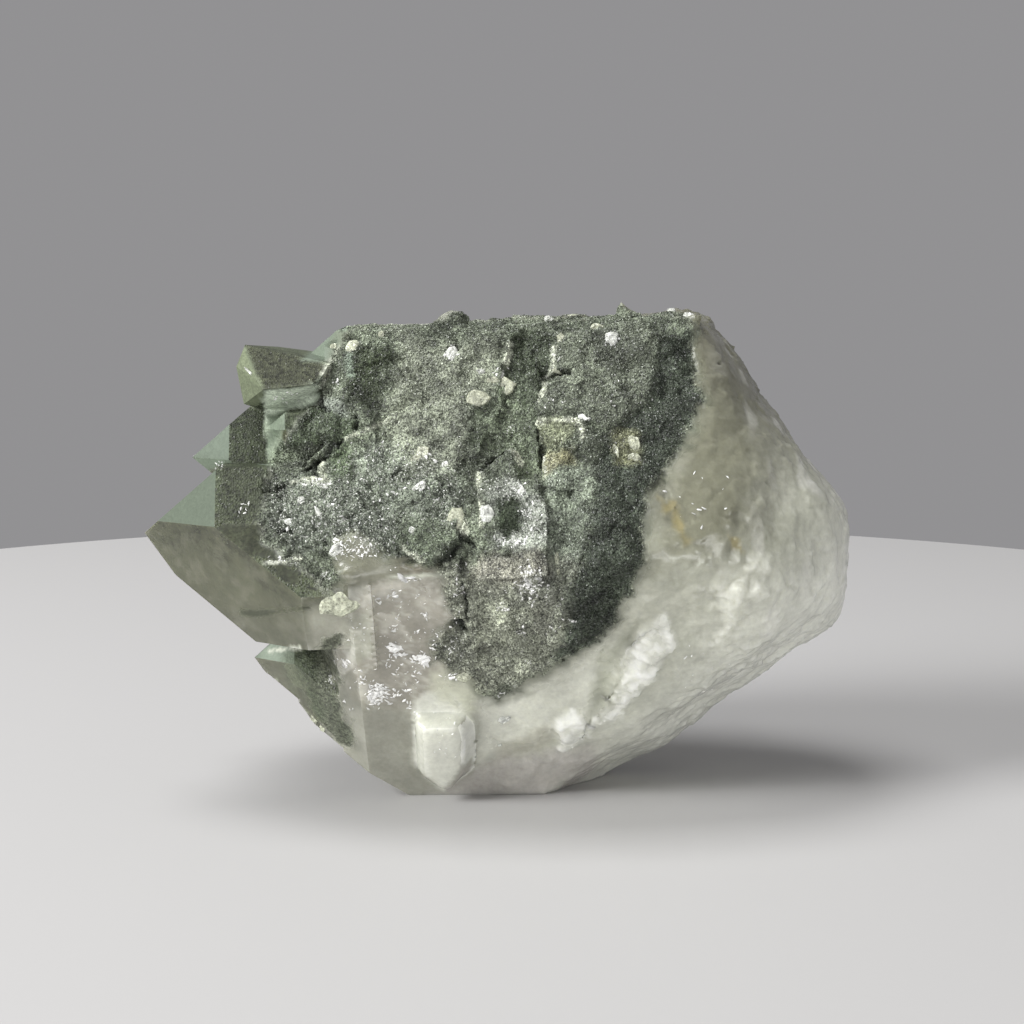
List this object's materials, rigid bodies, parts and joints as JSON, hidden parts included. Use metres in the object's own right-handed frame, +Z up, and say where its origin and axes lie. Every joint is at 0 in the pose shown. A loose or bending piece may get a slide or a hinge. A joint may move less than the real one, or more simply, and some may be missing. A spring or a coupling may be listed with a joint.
{
  "type": "quartz crystal specimen",
  "caption": "Thick quartz crystal lying on its side, stepped pointed tips at one end, a rough chlorite crust on its front and broken milky quartz at the other end",
  "frame": {"origin": "middle of the bounding box in X and Y, on the flat face the crystal rests on", "axes": "+X runs along the crystal away from its tips, +Y away from the crusted front, +Z up from the resting face"},
  "size_m": [0.08, 0.0462, 0.056],
  "materials": {
    "chlorite_quartz": "quartz, clear to milky, with a granular green chlorite crust"
  },
  "bodies": {
    "root": {"chlorite_quartz": "chlorite_quartz"}
  },
  "joints": []
}
